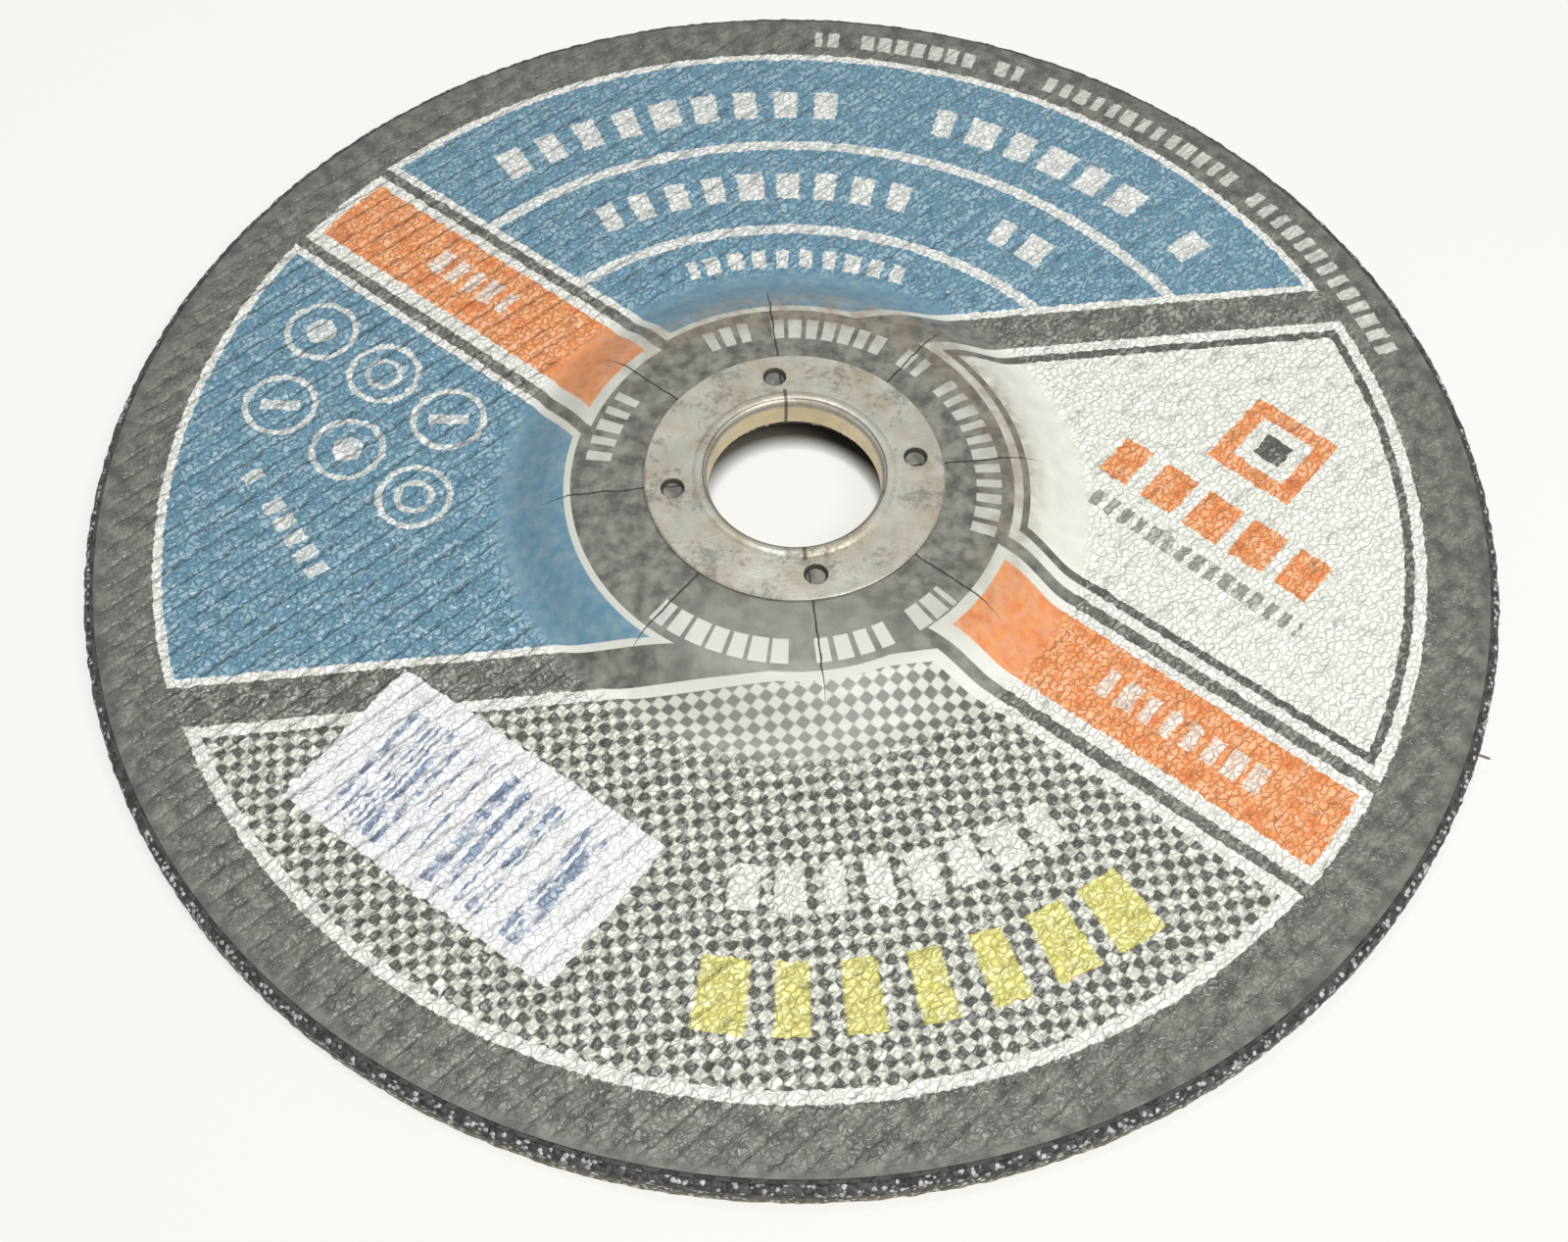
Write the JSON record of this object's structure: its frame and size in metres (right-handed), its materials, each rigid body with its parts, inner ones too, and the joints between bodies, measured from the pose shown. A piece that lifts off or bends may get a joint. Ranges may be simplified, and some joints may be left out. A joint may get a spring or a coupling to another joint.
{
  "type": "grinding disc",
  "caption": "Depressed-centre abrasive disc: dished bonded body, glass cloth, printed paper label and a pressed steel centre ring.",
  "frame": {"origin": "on the axis of the bore, in the plane of the grinding face that the disc lies on", "axes": "+Z along the bore's axis, from the grinding face to the raised hub; +X to the right in the picture"},
  "size_m": [0.18, 0.18, 0.0101],
  "materials": {
    "abrasive": "coarse resin-bonded grain, near black with bright specks",
    "cloth": "woven glass soaked in dark resin",
    "label": "printed paper in blue, orange, silver and dark grey, with the weave pressed through",
    "ring": "dull pressed steel with light stains"
  },
  "bodies": {
    "root": {"abrasive_body": "abrasive", "glass_cloth": "cloth", "paper_label": "label", "bore_ring": "ring"}
  },
  "joints": []
}
